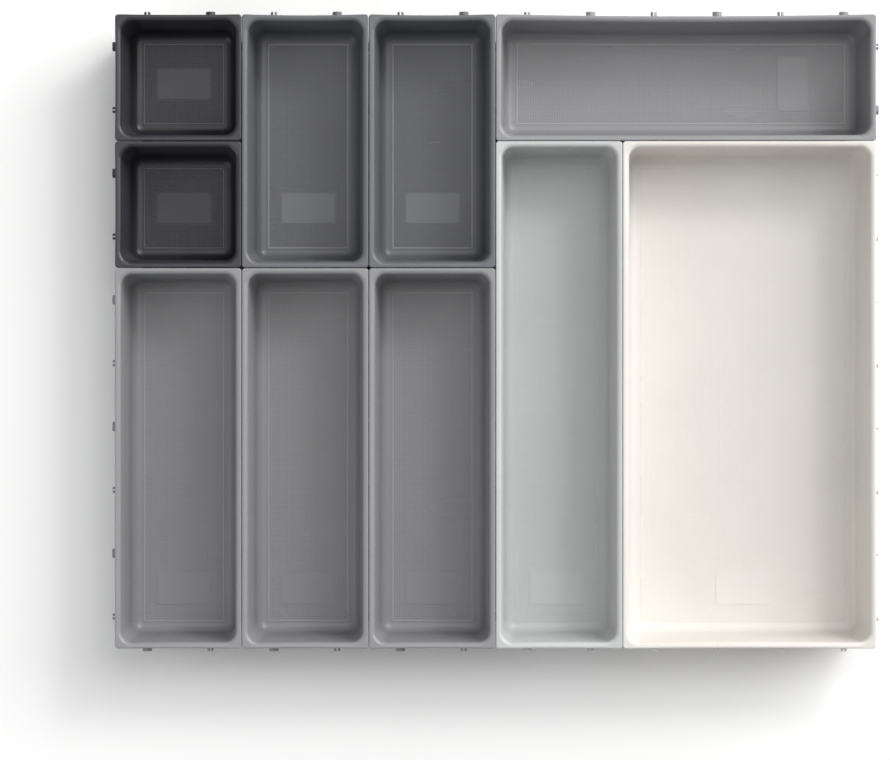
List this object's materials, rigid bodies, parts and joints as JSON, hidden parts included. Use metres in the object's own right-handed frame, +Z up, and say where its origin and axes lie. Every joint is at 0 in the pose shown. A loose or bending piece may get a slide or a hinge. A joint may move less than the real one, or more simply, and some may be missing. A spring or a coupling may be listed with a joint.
{
  "type": "drawer organizer insert",
  "caption": "Rectangular set of open-topped moulded bins in graded greys, clipped side to side on a square grid to divide a shallow drawer.",
  "frame": {"origin": "on the surface that the feet stand on, under the middle of the clipped-up set", "axes": "+X along the six-unit side, +Y towards the back of the drawer, +Z up, out of the open tops"},
  "size_m": [0.4838, 0.4038, 0.054],
  "materials": {
    "charcoal_plastic": "fine satin moulding",
    "dark_grey_plastic": "fine satin moulding",
    "grey_plastic": "fine satin moulding",
    "light_grey_plastic": "fine satin moulding",
    "cream_plastic": "fine satin moulding",
    "foot_rubber": "soft matt rubber"
  },
  "bodies": {
    "right_group": {"cross_bin": "grey_plastic", "cross_bin_feet": "foot_rubber", "narrow_bin": "light_grey_plastic", "narrow_bin_feet": "foot_rubber", "main_bin": "cream_plastic", "main_bin_feet": "foot_rubber"},
    "column_3": {"medium_bin_right": "dark_grey_plastic", "medium_bin_right_feet": "foot_rubber", "long_bin_right": "grey_plastic", "long_bin_right_feet": "foot_rubber"},
    "column_2": {"medium_bin_left": "dark_grey_plastic", "medium_bin_left_feet": "foot_rubber", "long_bin_middle": "grey_plastic", "long_bin_middle_feet": "foot_rubber"},
    "column_1": {"small_bin_back": "charcoal_plastic", "small_bin_back_feet": "foot_rubber", "small_bin_front": "charcoal_plastic", "small_bin_front_feet": "foot_rubber", "long_bin_left": "grey_plastic", "long_bin_left_feet": "foot_rubber"}
  },
  "joints": [
    {"name": "unclip_column_3", "type": "slide", "parent": "right_group", "child": "column_3", "axis": [-1, 0, 0], "range_m": [0, 0.04]},
    {"name": "unclip_column_2", "type": "slide", "parent": "column_3", "child": "column_2", "axis": [-1, 0, 0], "range_m": [0, 0.04]},
    {"name": "unclip_column_1", "type": "slide", "parent": "column_2", "child": "column_1", "axis": [-1, 0, 0], "range_m": [0, 0.04]}
  ]
}
